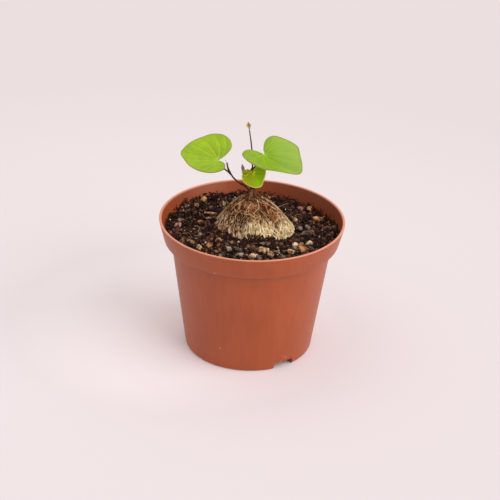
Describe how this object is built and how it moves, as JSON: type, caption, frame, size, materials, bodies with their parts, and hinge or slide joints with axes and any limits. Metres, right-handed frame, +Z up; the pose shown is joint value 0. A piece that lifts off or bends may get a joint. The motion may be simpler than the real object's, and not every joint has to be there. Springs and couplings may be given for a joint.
{
  "type": "potted tortoise plant",
  "caption": "Young woody caudex with heart-shaped leaves on a thin vine, growing in gritty soil in a round nursery pot with a deep rim.",
  "frame": {"origin": "centre of the pot's round foot, on the surface that it stands on", "axes": "+Z up along the pot's axis, -Y towards the front, where the pale flank of the caudex shows, +X to the right"},
  "size_m": [0.12, 0.12, 0.1524],
  "materials": {
    "pot_plastic": "satin moulded polypropylene, terracotta coloured",
    "soil": "loose dark peat with grit",
    "caudex_bark": "fibrous ridged cork",
    "stem": "thin dark vine bark",
    "leaf": "soft satin leaf",
    "young_leaf": "soft satin leaf",
    "new_growth": "fleshy new growth",
    "husk": "dry papery husk",
    "twig": "dry bark",
    "pale_grit": "rough broken grit",
    "tan_chip": "rough broken grit",
    "grey_grit": "rough broken grit",
    "rust_chip": "broken bark chip",
    "orange_chip": "rough broken clay"
  },
  "bodies": {
    "root": {"pot": "pot_plastic", "soil": "soil", "caudex": "caudex_bark", "stem": "stem", "leaf_left": "leaf", "leaf_right": "leaf", "leaf_small": "young_leaf", "shoot_tip": "new_growth", "bud_top": "husk", "bud_brown": "husk", "stick_brown": "twig", "stick_pale": "twig", "chip_cream_front": "pale_grit", "chip_beige_front": "tan_chip", "chip_grey_slab": "grey_grit", "chip_grey_round": "grey_grit", "chip_red_front": "rust_chip", "chip_orange_right": "orange_chip", "chip_cream_right": "pale_grit", "chip_white_right": "pale_grit", "chip_grey_right": "grey_grit", "chip_brown_right": "rust_chip", "chip_ochre_back": "orange_chip", "chip_rust_back": "rust_chip", "chip_tan_back": "tan_chip", "chip_yellow_left": "pale_grit", "chip_brown_left": "rust_chip", "chip_beige_left": "tan_chip", "chip_tan_left": "tan_chip", "chip_grey_pebble": "grey_grit", "chip_brown_chunk": "rust_chip", "chip_grey_front": "grey_grit", "chip_grey_sunk": "grey_grit", "chip_grey_flat": "grey_grit", "chip_grey_lip": "grey_grit", "chip_tan_twist": "tan_chip", "chip_pink_left": "tan_chip", "chip_grey_low": "grey_grit", "chip_grey_cream": "pale_grit", "chip_pink_back": "tan_chip"}
  },
  "joints": []
}
